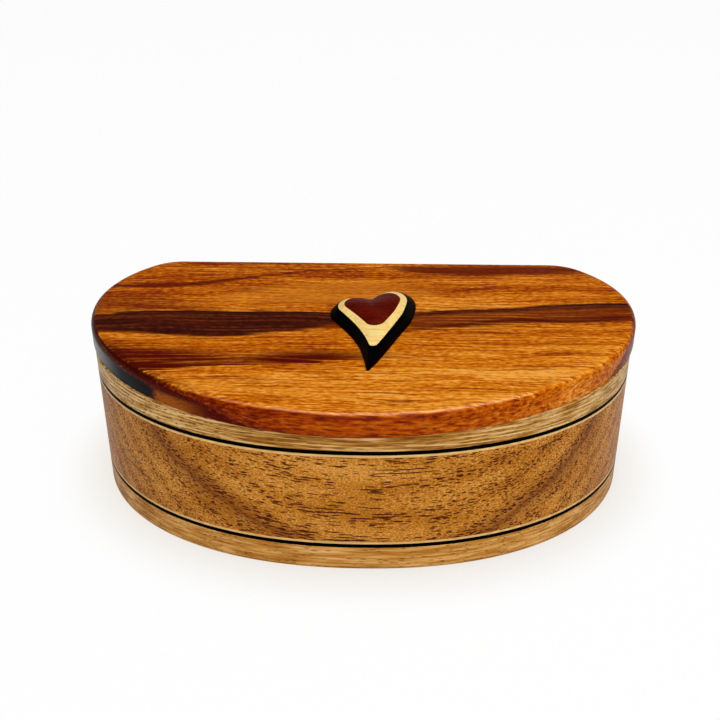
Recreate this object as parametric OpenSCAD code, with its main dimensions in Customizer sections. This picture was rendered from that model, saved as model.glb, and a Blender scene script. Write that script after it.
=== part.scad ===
// A wooden keepsake box with a D-shaped plan: a curved front, a flat back and a hinged lid.
// The body is a stack of boards and veneer lines, glued and hollowed out. The lid board carries
// a carved heart of three woods and turns on two small brass hinges with built-in stops.
// The box stands on z = 0, with its curved front towards -Y and its flat back towards +Y.

/* [Outline] */
// Width of the lid across its curved sides
box_w = 203; // [170:1:260]
// Depth of the body from its widest line to the curved front
body_front = 77; // [66:0.5:110]
// Distance that the lid reaches past the body in front, for a finger
finger_lip = 4.6; // [2:0.1:12]
// Distance that the lid reaches past the body at each side
side_lip = 1.5; // [0.5:0.1:3]
// Depth from the widest line to the flat back
back_depth = 39.7; // [32:0.1:46]
// Radius of the lid's rear side arcs beyond that depth
side_arc_extra = 8.4; // [6:0.1:14]
// Radius of the two rear corners
corner_r = 17.5; // [12:0.5:24]
// Fullness of the body's front curve, where 2 is a plain ellipse
body_fullness = 2.18; // [1.9:0.01:2.5]
// Fullness of the lid's front curve, where 2 is a plain ellipse
lid_fullness = 1.95; // [1.85:0.01:2.5]

/* [Layers] */
// Thickness of the base board
base_t = 9.2; // [6:0.1:14]
// Thickness of a black veneer line
black_t = 1.5; // [0.6:0.1:2]
// Thickness of a pale veneer line
maple_t = 0.9; // [0.5:0.1:2]
// Height of the main wall block
wall_h = 33.9; // [25:0.1:60]
// Thickness of the ash rim
rim_t = 7.9; // [6:0.1:14]
// Thickness of the lid board
lid_t = 8.3; // [6.5:0.1:12]
// Radius of the lid's rounded top edge
lid_round = 2.5; // [1:0.1:4]

/* [Inside] */
// Thickness of the curved wall
wall_t = 9; // [7:0.5:12]
// Thickness of the flat back wall, which carries the hinges
back_wall_t = 11; // [10:0.5:14]
// Radius of the cavity's rear corners
cavity_corner_r = 8.5; // [4:0.5:14]
// Thickness of the suede floor lining
lining_t = 1.4; // [0.8:0.1:3]
// Clearance round the edge of the floor lining
lining_gap = 0.3; // [0.1:0.05:1]

/* [Heart] */
// Width of the heart across its lobes
heart_w = 32.6; // [24:0.1:40]
// Length of the heart from the middles of its lobes to its tip
heart_tail = 42.2; // [36:0.1:50]
// Place of the heart to the right of the lid's middle
heart_x = 4.8; // [-20:0.1:20]
// Place of the lobes' middles in front of the widest line
heart_fore = 9.8; // [0:0.1:25]
// Turn of the heart seen from above
heart_tilt = 10.8; // [-20:0.1:20]
// Distance that the right lobe reaches further back than the left
heart_lean = 8.4; // [0:0.1:10]
// Distance that the cleft lies to the left of the middle
cleft_shift = 1.6; // [0:0.1:3]
// Distance that the tip bends to the left
tail_bend = 7.9; // [0:0.1:10]
// Distance that each flank of the tail is drawn in
tail_waist = 2.7; // [0:0.1:3.5]
// Height of the upright edge at the heart's foot
heart_edge = 0.9; // [0.5:0.1:2]
// Thickness of the black heart layer
heart_black_t = 4.2; // [3:0.1:7]
// Thickness of the pale heart layer
heart_maple_t = 1.3; // [1:0.1:4]
// Thickness of the domed red heart layer
heart_red_t = 1.6; // [1:0.1:4]
// Distance from the heart's foot in to the pale layer
maple_in = 3.3; // [2.5:0.1:4.5]
// Distance from the heart's foot in to the red layer
red_in = 5.8; // [5:0.1:7]
// Distance from the tip of the heart's foot in to the tip of the red layer
red_tail_in = 22.1; // [18:0.1:25]

/* [Hinges] */
// Distance between the middles of the two hinges
hinge_pitch = 100; // [60:1:104]
// Length of a hinge
hinge_len = 25; // [22:0.5:36]
// Length of the middle knuckle of a hinge
knuckle_len = 8.4; // [6:0.1:10]
// Width of a leaf set into the wood
leaf_w = 8; // [7:0.1:9]
// Thickness of a leaf
leaf_t = 1.4; // [1.2:0.1:2]
// Outer diameter of the hinge barrel
barrel_d = 4; // [3.6:0.1:5]
// Diameter of the hinge pin
pin_d = 1.8; // [1.2:0.1:2]
// Angle at which the hinge stops the open lid
open_angle = 95; // [80:1:96]
// Diameter of a screw's shank
screw_d = 2; // [1.6:0.1:2.4]
// Diameter of a screw's head
screw_head_d = 3.6; // [3:0.1:4.2]
// Distance of a screw from the end of its leaf
screw_edge = 5.5; // [4:0.1:6.5]
// Distance of a screw from the inner edge of its leaf
screw_back = 3.6; // [2.8:0.1:4]
// Length of a screw in the rim
rim_screw_len = 7; // [5:0.5:10]
// Wood left above the tip of a screw in the lid
screw_cover = 2.2; // [1.5:0.1:3]

/* [Hidden] */
$fn = 48;

// Steps along the front curve, each rear arc and corner, the lid's round and the heart's curves
front_steps = 72;
rear_steps = 12;
corner_steps = 8;
round_steps = 4;
cleft_steps = 4;
lobe_steps = 12;
flank_steps = 6;
tip_steps = 4;

// Fits and clearances
pin_play = 0.05;
screw_play = 0.05;
mortise_play = 0.1;
leaf_recess = 0.05;
knuckle_gap = 0.2;
barrel_gap = 0.25;
stop_gap = 0.1;
cut_over = 1;

// Heights of the layers
lower_black_z = base_t;
lower_maple_z = lower_black_z + black_t;
wall_z = lower_maple_z + maple_t;
upper_maple_z = wall_z + wall_h;
upper_black_z = upper_maple_z + maple_t;
rim_z = upper_black_z + black_t;
seam_z = rim_z + rim_t;
lid_top_z = seam_z + lid_t;

// The hinge: three knuckles, with a stop lug on the middle one and a stop bar under it
barrel_r = barrel_d / 2;
stop_t = 1.2;
stop_bar_t = 1;
stop_wall = 1.7;
lug_reach = barrel_r + stop_wall;
axis_out = barrel_r + barrel_gap;
screw_pitch = hinge_len - 2 * screw_edge;
screw_in = leaf_w - screw_back;
head_h = (screw_head_d - screw_d) / 2;
slot_w = 0.5;
slot_h = 0.4;

// The widest line of the plan lies where the whole box is centred on the origin
lid_front = body_front + finger_lip;
lid_half = box_w / 2;
body_half = lid_half - side_lip;
arc_x = lid_half - back_depth - side_arc_extra;
widest_y = (lid_front - back_depth - axis_out - lug_reach) / 2;
back_y = widest_y + back_depth;
axis_y = back_y + axis_out;

// Shape of the heart's level curves, which change with the distance in from its foot
lobe_share = 0.29;
lobe_shrink = 0.7;
lobe_back_in = 1.04;
cleft_r = 1;
cleft_grow = 0.11;
tip_r = 0.56;
tip_grow = 0.14;
tip_power = 1.8;
tail_power = 1.5;
bend_power = 2.2;
waist_peak = 4 / 27;
waist_end = 12;
lean_from = -10;
lean_over = 15;
side_power = 1.25;
dome_middle = 0.25;
side_shares = [0, 0.3, 0.65, 1];
band_shares = [0, 0.5, 1];
dome_shares = [1, 0.8, 0.6, 0.4, 0.2];
maple_h = heart_black_t;
red_h = maple_h + heart_maple_t;

ebony = [0.04, 0.04, 0.045];
maple = [0.86, 0.68, 0.42];
brass = [0.78, 0.6, 0.28];

// Points on an arc after its first point
function arc_after(x, y, r, from, to, steps) = [
    for (i = [1:steps])
        let (a = from + (to - from) * i / steps)
        [x + r * cos(a), y + r * sin(a)]
];

function signed_power(v, e) = sign(v) * pow(abs(v), e);

// Superellipse half from the left side round the front to the right side
function front_curve(half, front, fullness) = [
    for (i = [0:front_steps])
        let (a = 180 + 180 * i / front_steps)
        [half * signed_power(cos(a), 2 / fullness), front * signed_power(sin(a), 2 / fullness)]
];

// D-shaped plan about its widest line: front curve, rear side arcs, rear corners, flat back
function d_outline(half, front, fullness, back, corner) =
    let (
        arc_r = half - arc_x,
        corner_x = arc_x + sqrt(pow(arc_r - corner, 2) - pow(back - corner, 2)),
        turn = atan2(back - corner, corner_x - arc_x),
        right = concat(
            arc_after(arc_x, 0, arc_r, 0, turn, rear_steps),
            arc_after(corner_x, back - corner, corner, turn, 90, corner_steps)
        ),
        count = len(right),
        left = [for (i = [1:count]) [-right[count - i][0], right[count - i][1]]]
    )
    concat(front_curve(half, front, fullness), right, left);

function body_outline() = d_outline(body_half, body_front, body_fullness, back_depth, corner_r);

function cavity_outline(gap = 0) =
    let (
        side = wall_t + gap,
        back = back_depth - back_wall_t - gap
    )
    d_outline(body_half - side, body_front - side, body_fullness, back, cavity_corner_r);

function lid_outline(inset) =
    d_outline(lid_half - inset, lid_front - inset, lid_fullness, back_depth - inset, corner_r - inset);

function at_height(outline, z) = [for (p = outline) [p[0], p[1], z]];

// Closed solid through a stack of level outlines that all have the same number of points
module skin(rings) {
    n = len(rings[0]);
    last = len(rings) - 1;
    sides = [
        for (k = [0:last - 1], i = [0:n - 1])
            let (
                a = k * n + i,
                b = k * n + (i + 1) % n
            )
            each [[a, a + n, b + n], [a, b + n, b]]
    ];
    foot = [for (i = [0:n - 1]) i];
    head = [for (i = [0:n - 1]) last * n + n - 1 - i];
    polyhedron(points = [for (r = rings) each r], faces = concat([foot], sides, [head]));
}

// Board with the body's full plan
module full_layer(z, t) {
    translate([0, widest_y, z])
        linear_extrude(t)
            polygon(body_outline());
}

// Board with the body's plan and the cavity cut out, fitted for the hinges
module hollow_layer(z, t) {
    difference() {
        translate([0, widest_y, z])
            linear_extrude(t)
                difference() {
                    polygon(body_outline());
                    polygon(cavity_outline());
                }
        body_hinge_cuts();
    }
}

// Puts its children at both hinges
module at_hinges() {
    for (side = [-1, 1])
        translate([side * hinge_pitch / 2, 0, 0])
            children();
}

// Puts its children at the two screws of a leaf, at the level of its face
module at_screws(z) {
    for (side = [-1, 1])
        translate([side * screw_pitch / 2, back_y - screw_in, z])
            children();
}

module countersink(play) {
    r = screw_head_d / 2 + play;
    translate([0, 0, -head_h])
        cylinder(h = head_h, r1 = r - head_h, r2 = r);
}

// Slotted countersunk screw, with the top of its head at the origin and its tip below
module screw(length) {
    difference() {
        union() {
            countersink(0);
            translate([0, 0, -length + screw_d])
                cylinder(h = length - screw_d - head_h, d = screw_d);
            translate([0, 0, -length])
                cylinder(h = screw_d, d1 = screw_d / 4, d2 = screw_d);
        }
        translate([-screw_head_d, -slot_w / 2, -slot_h])
            cube([2 * screw_head_d, slot_w, slot_h + cut_over]);
    }
}

module screw_hole(length) {
    translate([0, 0, -length - screw_play])
        cylinder(h = length + cut_over, d = screw_d + 2 * screw_play);
}

// Pocket for one leaf, cut downwards from the origin's level
module mortise() {
    depth = leaf_t + leaf_recess;
    length = hinge_len + 2 * mortise_play;
    translate([-length / 2, back_y - leaf_w - mortise_play, -depth])
        cube([length, leaf_w + mortise_play + cut_over, depth + cut_over]);
}

module body_hinge_cuts() {
    at_hinges() {
        translate([0, 0, seam_z])
            mortise();
        at_screws(seam_z - leaf_recess)
            screw_hole(rim_screw_len);
    }
}

module lid_hinge_cuts() {
    lid_side()
        at_hinges() {
            translate([0, 0, seam_z])
                mortise();
            at_screws(seam_z - leaf_recess)
                screw_hole(lid_t - screw_cover);
        }
}

// Turns what lies under the seam over it, for the lid's half of a hinge
module lid_side() {
    translate([0, 0, seam_z])
        mirror([0, 0, 1])
            translate([0, 0, -seam_z])
                children();
}

// Flat part of a leaf under the seam, with its countersunk holes
module leaf_plate() {
    difference() {
        translate([-hinge_len / 2, back_y - leaf_w, seam_z - leaf_recess - leaf_t])
            cube([hinge_len, leaf_w, leaf_t]);
        at_screws(seam_z - leaf_recess) {
            countersink(screw_play);
            screw_hole(leaf_t);
        }
    }
}

// One knuckle from x to x + length, with its neck to the leaf under the seam
module knuckle(x, length) {
    translate([x, axis_y, seam_z])
        rotate([0, 90, 0])
            cylinder(h = length, r = barrel_r);
    translate([x, back_y - mortise_play, seam_z - leaf_recess - leaf_t])
        cube([length, axis_out + mortise_play, leaf_t]);
}

// Place of a point beside the hinge axis, in depth and height, after it has turned with the open lid
function turned_open(p) = [
    p[0] * cos(open_angle) + p[1] * sin(open_angle),
    p[1] * cos(open_angle) - p[0] * sin(open_angle)
];

module pin_bore() {
    translate([-hinge_len / 2 - cut_over, axis_y, seam_z])
        rotate([0, 90, 0])
            cylinder(h = hinge_len + 2 * cut_over, d = pin_d + 2 * pin_play);
}

// Stop bar that the lug of the fully open lid lies against, starting at a distance from the axis
module stop_bar(x, length, from) {
    near = -stop_t / 2 - stop_gap;
    far = near - stop_bar_t;
    corners = [[from, near], [lug_reach, near], [lug_reach, far], [from, far]];
    translate([x, axis_y, seam_z])
        rotate([90, 0, 90])
            linear_extrude(length)
                polygon([for (c = corners) turned_open(c)]);
}

module body_leaf() {
    outer = -hinge_len / 2;
    inner = knuckle_len / 2 + knuckle_gap;
    outer_len = hinge_len / 2 - inner;
    difference() {
        union() {
            leaf_plate();
            for (x = [outer, inner]) {
                knuckle(x, outer_len);
                stop_bar(x, outer_len, 0);
            }
            stop_bar(-hinge_len / 2, hinge_len, barrel_r + barrel_gap);
        }
        pin_bore();
    }
}

module lid_leaf() {
    difference() {
        union() {
            lid_side()
                leaf_plate();
            lid_side()
                knuckle(-knuckle_len / 2, knuckle_len);
            translate([-knuckle_len / 2, axis_y, seam_z - stop_t / 2])
                cube([knuckle_len, lug_reach, stop_t]);
        }
        pin_bore();
    }
}

module hinge_pin() {
    translate([-hinge_len / 2, axis_y, seam_z])
        rotate([0, 90, 0])
            cylinder(h = hinge_len, d = pin_d);
}

// Right half of a level curve that lies d inside the heart's foot: the fillet in the cleft,
// the round lobe, the straight flank and the round tip
function heart_half(d) =
    let (
        r = lobe_share * heart_w - lobe_shrink * d,
        x = heart_w / 2 - d - r,
        y = lobe_share * heart_w - lobe_back_in * d - r,
        fillet = cleft_r + cleft_grow * d,
        fillet_y = y + sqrt(pow(r + fillet, 2) - x * x),
        tip = tip_r + tip_grow * pow(d, tip_power),
        tip_y = tip + red_tail_in * pow(d / red_in, tail_power) - heart_tail,
        flank = atan2(x, y - tip_y) + asin((r - tip) / norm([x, y - tip_y])),
        to_fillet = atan2(fillet_y - y, -x),
        lobe = arc_after(x, y, r, to_fillet, -flank, lobe_steps),
        end = arc_after(0, tip_y, tip, -flank, -90, tip_steps),
        last = lobe[lobe_steps - 1],
        next = [tip * cos(flank), tip_y - tip * sin(flank)]
    )
    concat(
        [[0, fillet_y - fillet]],
        arc_after(0, fillet_y, fillet, -90, to_fillet - 180, cleft_steps),
        lobe,
        [for (i = [1:flank_steps]) last + (next - last) * i / flank_steps],
        end
    );

// Carver's freehand: a tail with a waist and a bend, a shifted cleft and a longer right lobe
function freehand(p, d) =
    let (
        down = -min(0, p[1]) / heart_tail,
        waist = tail_waist * (1 - d / waist_end) * down * down * max(0, 1 - down) / waist_peak,
        slim = p[0] * (1 - 2 * waist / heart_w),
        shift = cleft_shift * (1 - pow(2 * slim / heart_w, 2)),
        x = slim - tail_bend * pow(down, bend_power) - shift,
        rise = min(1, max(0, (p[1] - lean_from) / lean_over))
    )
    [x, p[1] + heart_lean * max(x, 0) / heart_w * 2 * rise];

// Whole level curve at a height, drawn towards the middle of the heart by a share
function heart_ring(d, h, share = 1) =
    let (
        right = heart_half(d),
        count = len(right),
        left = [for (p = right) [-p[0], p[1]]],
        middle = [0, -dome_middle * heart_tail],
        loop = concat(left, [for (i = [2:count - 1]) right[count - i]])
    )
    at_height([for (p = loop) freehand(middle + (p - middle) * share, d)], h);

module heart_slice(rings) {
    translate([heart_x, widest_y - heart_fore, lid_top_z])
        rotate([0, 0, heart_tilt])
            skin(rings);
}

module base_board() {
    color([0.72, 0.53, 0.29])
        full_layer(0, base_t);
}

module lower_black_line() {
    color(ebony)
        full_layer(lower_black_z, black_t);
}

module lower_maple_line() {
    color(maple)
        full_layer(lower_maple_z, maple_t);
}

module body_wall() {
    color([0.66, 0.42, 0.17])
        hollow_layer(wall_z, wall_h);
}

module upper_maple_line() {
    color(maple)
        hollow_layer(upper_maple_z, maple_t);
}

module upper_black_line() {
    color(ebony)
        hollow_layer(upper_black_z, black_t);
}

module ash_rim() {
    color([0.74, 0.56, 0.32])
        hollow_layer(rim_z, rim_t);
}

module floor_lining() {
    color([0.25, 0.08, 0.09])
        translate([0, widest_y, wall_z])
            linear_extrude(lining_t)
                polygon(cavity_outline(lining_gap));
}

module rim_screws() {
    color(brass)
        at_hinges()
            at_screws(seam_z - leaf_recess)
                screw(rim_screw_len);
}

// Lid board: straight sides up to a quarter round along the whole top edge
module lid_board() {
    edge = [for (i = [0:round_steps]) 90 * i / round_steps];
    rings = concat(
        [at_height(lid_outline(0), seam_z)],
        [for (a = edge) at_height(lid_outline(lid_round * (1 - cos(a))), lid_top_z - lid_round * (1 - sin(a)))]
    );
    color([0.62, 0.33, 0.09])
        difference() {
            translate([0, widest_y, 0])
                skin(rings);
            lid_hinge_cuts();
        }
}

// Foot of the heart: an upright edge, then a flank that eases as it rises
module heart_base() {
    rise = maple_h - heart_edge;
    color(ebony)
        heart_slice(concat(
            [heart_ring(0, 0)],
            [for (k = side_shares) heart_ring(k * maple_in, heart_edge + rise * (1 - pow(1 - k, side_power)))]
        ));
}

module heart_middle() {
    color(maple)
        heart_slice([
            for (k = band_shares)
                heart_ring(maple_in + (red_in - maple_in) * k, maple_h + heart_maple_t * k)
        ]);
}

// Top of the heart: a low dome over the inner curve
module heart_top() {
    color([0.3, 0.08, 0.05])
        heart_slice([for (k = dome_shares) heart_ring(red_in, red_h + heart_red_t * (1 - k * k), k)]);
}

module lid_screws() {
    color(brass)
        lid_side()
            at_hinges()
                at_screws(seam_z - leaf_recess)
                    screw(lid_t - screw_cover);
}

// One piece of the left or right hinge
module at_hinge(side) {
    color(brass)
        translate([side * hinge_pitch / 2, 0, 0])
            children();
}

base_board();
lower_black_line();
lower_maple_line();
body_wall();
upper_maple_line();
upper_black_line();
ash_rim();
floor_lining();
at_hinge(-1) body_leaf();  // left_body_leaf
at_hinge(1) body_leaf();  // right_body_leaf
at_hinge(-1) hinge_pin();  // left_hinge_pin
at_hinge(1) hinge_pin();  // right_hinge_pin
rim_screws();
lid_board();
heart_base();
heart_middle();
heart_top();
at_hinge(-1) lid_leaf();  // left_lid_leaf
at_hinge(1) lid_leaf();  // right_lid_leaf
lid_screws();
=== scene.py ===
"""Dresses a wooden keepsake box with a D-shaped plan, layered sides and a hinged lid with a carved heart.

Shapes are worked out in millimetres in the box's own frame (+Z up, curved front towards -Y) and go into the
meshes in metres. Every piece made here is a stack of closed outlines, so it is a function of two parameters:
the way round the outline, and the way along the piece's edge profile.
"""

import math
from functools import partial, reduce

import bmesh
import bpy
import numpy as np
from mathutils import Matrix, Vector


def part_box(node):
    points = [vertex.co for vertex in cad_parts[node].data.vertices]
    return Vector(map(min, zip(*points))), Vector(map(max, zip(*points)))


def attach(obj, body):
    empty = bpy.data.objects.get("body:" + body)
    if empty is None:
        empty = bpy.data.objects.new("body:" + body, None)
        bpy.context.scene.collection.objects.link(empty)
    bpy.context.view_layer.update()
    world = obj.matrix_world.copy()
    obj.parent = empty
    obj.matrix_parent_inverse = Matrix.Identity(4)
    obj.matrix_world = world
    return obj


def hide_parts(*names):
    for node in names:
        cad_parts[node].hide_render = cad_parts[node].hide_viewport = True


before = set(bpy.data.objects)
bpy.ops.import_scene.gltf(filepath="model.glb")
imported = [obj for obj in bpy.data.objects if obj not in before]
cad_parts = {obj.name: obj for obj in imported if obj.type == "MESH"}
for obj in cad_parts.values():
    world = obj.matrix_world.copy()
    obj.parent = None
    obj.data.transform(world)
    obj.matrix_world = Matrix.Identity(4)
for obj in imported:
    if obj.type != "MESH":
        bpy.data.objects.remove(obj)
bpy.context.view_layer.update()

MM = 0.001


def span(node):
    """Lowest and highest corner of one of the frame's nodes, in millimetres."""
    return [np.array(corner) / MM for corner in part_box(node)]


def heights(node):
    """Lowest and highest z of one of the frame's nodes, in millimetres."""
    low, high = span(node)
    return low[2], high[2]


# Plan of the box
BACK_DEPTH = 39.7
SIDE_ARC_R = 48.1
CORNER_R = 17.5
BODY_FULLNESS = 2.18
LID_FULLNESS = 1.95
WALL_T = 9.0
BACK_WALL_T = 11.0
CAVITY_CORNER_R = 8.5
LID_ROUND = 2.5

(_, body_front_y, _), (BODY_HALF, BACK_Y, _) = span("body_wall")
(_, lid_front_y, _), (LID_HALF, _, LID_TOP) = span("lid_board")
WIDEST_Y = BACK_Y - BACK_DEPTH
ARC_X = LID_HALF - SIDE_ARC_R
BODY_FRONT = WIDEST_Y - body_front_y
LID_FRONT = WIDEST_Y - lid_front_y

# Mortises for the hinge leaves, in the rim and in the lid
MORTISE_PLAY = 0.1
MORTISE_DEPTH = 1.45
leaf_low, leaf_high = span("right_lid_leaf")
MORTISE_X = (leaf_low[0] - MORTISE_PLAY, leaf_high[0] + MORTISE_PLAY)
MORTISE_IN = BACK_Y - leaf_low[1] + MORTISE_PLAY

# Edges that sanding has rounded a little, and the flat strip kept beside a rounded edge
BASE_EASE = 0.7
RIM_EASE = 0.4
LID_EASE = 0.5
FLAT_STRIP = 1.0

# Stations round a plan and round an edge
FRONT_STEPS = 240
ARC_STEPS = 36
CORNER_STEPS = 18
BACK_STEPS = 6
ROUND_STEPS = 10

# Lengths in metres below which points and slivers are merged, and the least angle of a sharp edge
WELD = 1e-6
SLIVER = 1e-7
SHARP_EDGE = math.radians(32)


def arc(cx, cy, radius, start, end, steps):
    """Points on a circle after the one at angle start, up to the one at angle end."""
    a = np.linspace(start, end, steps + 1)[1:]
    return np.stack([cx + radius * np.cos(a), cy + radius * np.sin(a)], -1)


def d_plan(half, front, fullness, depth, corner):
    """D-shaped plan, anticlockwise. In front of the widest line it is half a superellipse,
    |x/half|^fullness + |y/front|^fullness = 1. Behind it come a side arc, a corner arc, the straight
    back with a station pair at each mortise end, and the mirror image of the two arcs."""
    arc_r = half - ARC_X
    corner_x = ARC_X + math.sqrt((arc_r - corner) ** 2 - (depth - corner) ** 2)
    turn = math.atan2(depth - corner, corner_x - ARC_X)
    a = np.linspace(math.pi, 2 * math.pi, FRONT_STEPS + 1)
    x = half * np.sign(np.cos(a)) * np.abs(np.cos(a)) ** (2 / fullness)
    y = -front * np.abs(np.sin(a)) ** (2 / fullness)
    right = np.concatenate([
        arc(ARC_X, 0, arc_r, 0, turn, ARC_STEPS),
        arc(corner_x, depth - corner, corner, turn, math.pi / 2, CORNER_STEPS),
    ])
    near, far = MORTISE_X
    stops = [corner_x, far, near, -near, -far, -corner_x]
    stretches = [np.linspace(start, end, BACK_STEPS + 1) for start, end in zip(stops, stops[1:])]
    back_x = np.concatenate(stretches)[1:-1]
    back = np.stack([back_x, np.full_like(back_x, depth)], -1)
    return np.concatenate([np.stack([x, y], -1), right, back, right[::-1] * (-1, 1)]) + (0, WIDEST_Y)


# The stations of a plan that lie over a mortise
HINGED = np.concatenate([
    np.zeros(FRONT_STEPS + 1 + ARC_STEPS + CORNER_STEPS, bool),
    np.repeat([False, True, False, True, False], BACK_STEPS + 1)[1:-1],
    np.zeros(ARC_STEPS + CORNER_STEPS, bool),
])


def body_plan(inset):
    """Outline of the body, moved in by the inset."""
    return d_plan(BODY_HALF - inset, BODY_FRONT - inset, BODY_FULLNESS, BACK_DEPTH - inset, CORNER_R - inset)


def lid_plan(inset):
    """Outline of the lid, moved in by the inset."""
    return d_plan(LID_HALF - inset, LID_FRONT - inset, LID_FULLNESS, BACK_DEPTH - inset, CORNER_R - inset)


def cavity_plan(growth):
    """Outline of the hollow, moved out by the growth."""
    inset = WALL_T - growth
    depth = BACK_DEPTH - BACK_WALL_T + growth
    return d_plan(BODY_HALF - inset, BODY_FRONT - inset, BODY_FULLNESS, depth, CAVITY_CORNER_R + growth)


def level(plan, z):
    """A plan as a loop of points at height z."""
    return np.column_stack([plan, np.full(len(plan), z)])


def quarter(radius):
    """Steps of a quarter round as pairs of distances: the first falls from the radius to 0 as radius times
    1 - sin(a), and the second rises as radius times 1 - cos(a)."""
    a = np.linspace(0, math.pi / 2, ROUND_STEPS + 1)
    return list(zip(radius * (1 - np.sin(a)), radius * (1 - np.cos(a))))


def stacked(name, loops, ring=False):
    """Mesh through a stack of closed loops in millimetres. The first and last loop get a flat cap, or are
    joined to each other in a ring."""
    loops = np.array(loops)
    count, around = loops.shape[:2]
    index = np.arange(count * around).reshape(count, around)
    below, above = (index, np.roll(index, -1, 0)) if ring else (index[:-1], index[1:])
    quads = np.stack([below, np.roll(below, -1, 1), np.roll(above, -1, 1), above], -1).reshape(-1, 4)
    caps = [] if ring else [index[0, ::-1].tolist(), index[-1].tolist()]
    mesh = bpy.data.meshes.new(name)
    mesh.from_pydata((loops.reshape(-1, 3) * MM).tolist(), [], quads.tolist() + caps)
    work = bmesh.new()
    work.from_mesh(mesh)
    bmesh.ops.remove_doubles(work, verts=work.verts, dist=WELD)
    bmesh.ops.dissolve_degenerate(work, edges=work.edges, dist=SLIVER)
    work.to_mesh(mesh)
    work.free()
    mesh.shade_smooth()
    mesh.set_sharp_from_angle(angle=SHARP_EDGE)
    piece = bpy.data.objects.new(name, mesh)
    bpy.context.scene.collection.objects.link(piece)
    return piece


def board(name, node, bottom_ease=0.0):
    """Solid board of the body: the body's outline at its bottom, or a few of them round an eased lower
    edge, and at its top."""
    z0, z1 = heights(node)
    profile = [(0, z0)]
    if bottom_ease:
        profile = [(bottom_ease + FLAT_STRIP, z0)]
        profile += [(inward, z0 + up) for inward, up in quarter(bottom_ease)]
    profile += [(0, z1)]
    return stacked(name, [level(body_plan(inward), z) for inward, z in profile])


def hoop(name, node):
    """Hollow layer of the body: out along the bottom, up the outside, in along the top, down the inside."""
    z0, z1 = heights(node)
    outside = body_plan(0)
    inside = cavity_plan(0)
    loops = [level(outside, z0), level(outside, z1), level(inside, z1), level(inside, z0)]
    return stacked(name, loops, ring=True)


def rim(name, node):
    """Hollow top layer with eased upper edges, sunk by the mortise's depth between each mortise's ends."""
    z0, z1 = heights(node)

    def sunk(loop):
        """A loop lowered to the mortise's bottom where it lies over a mortise."""
        loop[HINGED, 2] = np.minimum(loop[HINGED, 2], z1 - MORTISE_DEPTH)
        return loop

    loops = [level(body_plan(0), z0)]
    loops += [sunk(level(body_plan(up), z1 - inward)) for inward, up in quarter(RIM_EASE)]
    loops += [sunk(level(body_plan(MORTISE_IN), z1)), level(body_plan(MORTISE_IN), z1)]
    loops += [level(cavity_plan(inward), z1 - up) for inward, up in quarter(RIM_EASE)]
    loops += [level(cavity_plan(0), z0)]
    return stacked(name, loops, ring=True)


def lid(name, node):
    """Lid board: underside raised over the mortises, eased lower edge, upright side, rounded upper edge."""
    z0, z1 = heights(node)

    def raised(loop):
        """A loop lifted by the mortise's depth where it lies over a mortise."""
        loop[HINGED, 2] = np.maximum(loop[HINGED, 2], z0 + MORTISE_DEPTH)
        return loop

    loops = [level(lid_plan(MORTISE_IN), z0), raised(level(lid_plan(MORTISE_IN), z0))]
    loops += [raised(level(lid_plan(LID_EASE + FLAT_STRIP), z0))]
    loops += [raised(level(lid_plan(inward), z0 + up)) for inward, up in quarter(LID_EASE)]
    loops += [level(lid_plan(up), z1 - inward) for inward, up in quarter(LID_ROUND)]
    loops += [level(lid_plan(LID_ROUND + FLAT_STRIP), z1)]
    return stacked(name, loops)


# Outline of the carved heart, with y = 0 on the line through the widest points of its lobes
HEART_W = 32.6
HEART_TAIL = 42.2
LOBE_R = 0.29 * HEART_W
CLEFT_R = 1.0
TIP_R = 0.56

# What a millimetre moved in from the outline changes, and the powers by which the tip and the tail draw in
LOBE_SHRINK = 0.7
LOBE_DROP = 1.04
CLEFT_GROWTH = 0.11
TIP_GROWTH = 0.14
TIP_POWER = 1.8
TAIL_POWER = 1.5

# The three woods of the heart: heights, and how far each begins inside the outline
FOOT_EDGE = 0.9
FOOT_H = 4.2
FOOT_CURVE = 1.25
BAND_H = 1.3
DOME_H = 1.6
BAND_IN = 3.3
DOME_IN = 5.8
DOME_TAIL_IN = 22.1
DOME_TOP_DOWN = 0.25

# What the carver's hand did to the outline, and where the heart stands on the lid
HEART_X = 4.8
HEART_FORE = 9.8
HEART_TILT = math.radians(10.8)
HEART_LEAN = 8.4
LEAN_FROM = -10.0
LEAN_RISE = 15.0
CLEFT_SHIFT = 1.6
TAIL_BEND = 7.9
BEND_POWER = 2.2
TAIL_WAIST = 2.7
WAIST_END = 12.0
WAIST_PEAK = 4 / 27

# Stations round the heart and up its woods
LOBE_STEPS = 48
FLANK_STEPS = 24
TIP_STEPS = 12
FOOT_STEPS = 8
BAND_STEPS = 3
DOME_STATIONS = (1, 0.94, 0.86, 0.76, 0.64, 0.5, 0.36, 0.22, 0.1)


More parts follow.
